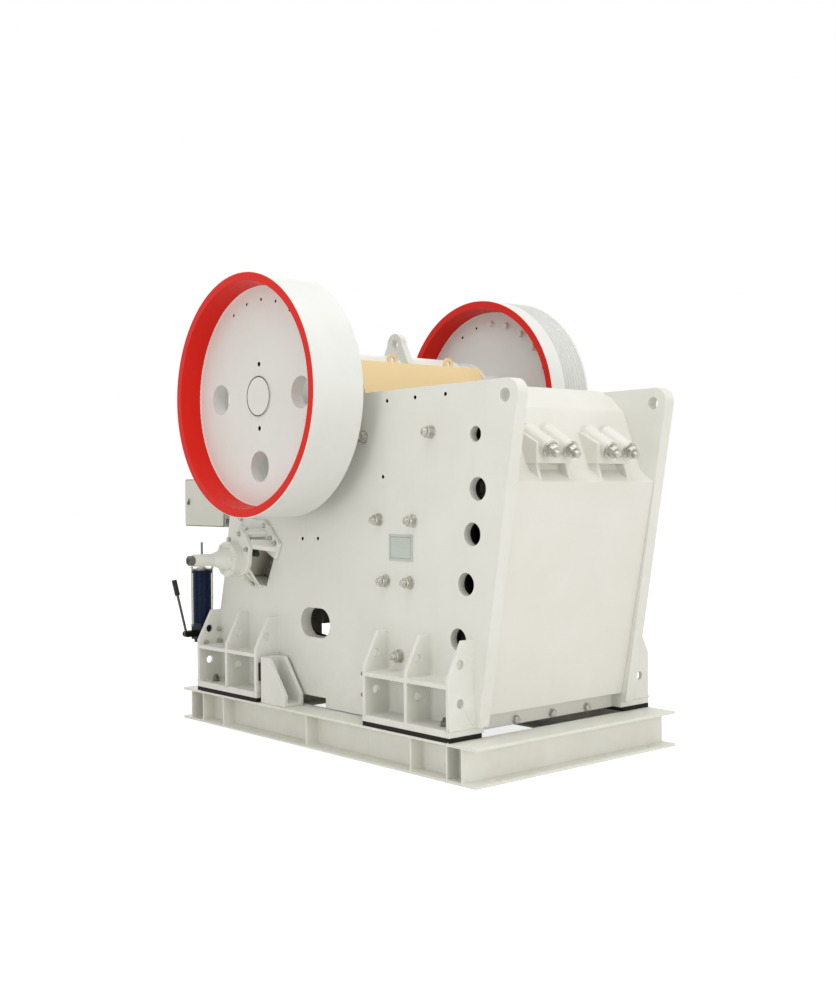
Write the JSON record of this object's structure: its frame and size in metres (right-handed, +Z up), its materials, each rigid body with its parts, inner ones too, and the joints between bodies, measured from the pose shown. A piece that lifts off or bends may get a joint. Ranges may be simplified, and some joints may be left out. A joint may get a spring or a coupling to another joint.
{
  "type": "single toggle jaw crusher on a steel base frame",
  "caption": "Jaw crusher with flywheels on a cross shaft, a swing jaw on a toggle plate, a box front wall and feet on rubber pads on a beam frame.",
  "frame": {"origin": "centre of the base frame's underside, which is the centre of its four anchor holes", "axes": "+X towards the front wall behind the fixed jaw, -Y to the left side as seen by someone who faces the front wall, +Z up"},
  "size_m": [3.1376, 2.196, 2.7263],
  "materials": {
    "cream_paint": "satin enamel over welded plate",
    "wheel_paint": "satin enamel, rims red",
    "guard_paint": "satin cream orange enamel",
    "shaft_steel": "turned steel",
    "manganese_steel": "rough cast",
    "bolt_steel": "zinc plated",
    "pad_rubber": "matt",
    "cabinet_paint": "grey enamel",
    "pump_paint": "gloss navy enamel",
    "plate_metal": "anodised"
  },
  "bodies": {
    "root": {"adjuster_bracket_left": "cream_paint", "adjuster_bracket_right": "cream_paint", "adjuster_cylinder_left": "cream_paint", "adjuster_cylinder_right": "cream_paint", "adjusting_wedges": "shaft_steel", "base_beam_front": "cream_paint", "base_beam_left": "cream_paint", "base_beam_rear": "cream_paint", "base_beam_right": "cream_paint", "bearing_housing_left": "cream_paint", "bearing_housing_right": "cream_paint", "cabinet_bracket": "cream_paint", "cheek_plates_left": "manganese_steel", "cheek_plates_right": "manganese_steel", "control_cabinet": "cabinet_paint", "die_support_bar": "cream_paint", "fixed_jaw_die": "manganese_steel", "front_foot_left": "cream_paint", "front_foot_right": "cream_paint", "front_wall": "cream_paint", "grease_pump": "pump_paint", "jaw_clamp_studs": "bolt_steel", "nameplate": "plate_metal", "rear_foot_left": "cream_paint", "rear_foot_right": "cream_paint", "rear_wall": "cream_paint", "rubber_pads": "pad_rubber", "side_plate_left": "cream_paint", "side_plate_right": "cream_paint", "stopper_buffers": "pad_rubber", "stopper_left": "cream_paint", "stopper_right": "cream_paint", "tension_housing": "cream_paint", "toggle_seat": "cream_paint"},
    "rotor": {"eccentric_shaft": "shaft_steel", "flywheel_left": "wheel_paint", "drive_wheel_right": "wheel_paint", "hub_caps": "wheel_paint"},
    "pitman": {"pitman": "cream_paint", "swing_jaw_die": "manganese_steel", "pitman_guard": "guard_paint"},
    "toggle": {"toggle_plate": "manganese_steel"},
    "tension_rod": {"tension_rod": "shaft_steel"},
    "pump_lever": {"pump_lever": "pump_paint"}
  },
  "joints": [
    {"name": "wheel_spin", "type": "hinge", "parent": "root", "child": "rotor", "pos_m": [-0.2222, 0, 2.0263], "axis": [0, 1, 0], "continuous": true},
    {"name": "jaw_swing", "type": "hinge", "parent": "root", "child": "pitman", "pos_m": [-0.2222, 0, 2.0263], "axis": [0, 1, 0], "range_deg": [-0.65, 0.65]},
    {"name": "toggle_tilt", "type": "hinge", "parent": "pitman", "child": "toggle", "pos_m": [0.1397, 0, 0.62381], "axis": [0, 1, 0], "range_deg": [-0.05, 0.05]},
    {"name": "rod_tilt", "type": "hinge", "parent": "pitman", "child": "tension_rod", "pos_m": [0.235, 0, 0.372], "axis": [0, 1, 0], "range_deg": [-0.4, 0.4]},
    {"name": "lever_stroke", "type": "hinge", "parent": "root", "child": "pump_lever", "pos_m": [-1.292, -0.82, 0.556], "axis": [1, 0, 0], "range_deg": [0, 60]}
  ],
  "couplings": [
    {"joint": "toggle_tilt", "follows": "jaw_swing", "ratio": 0.067081},
    {"joint": "rod_tilt", "follows": "jaw_swing", "ratio": -0.55943}
  ]
}
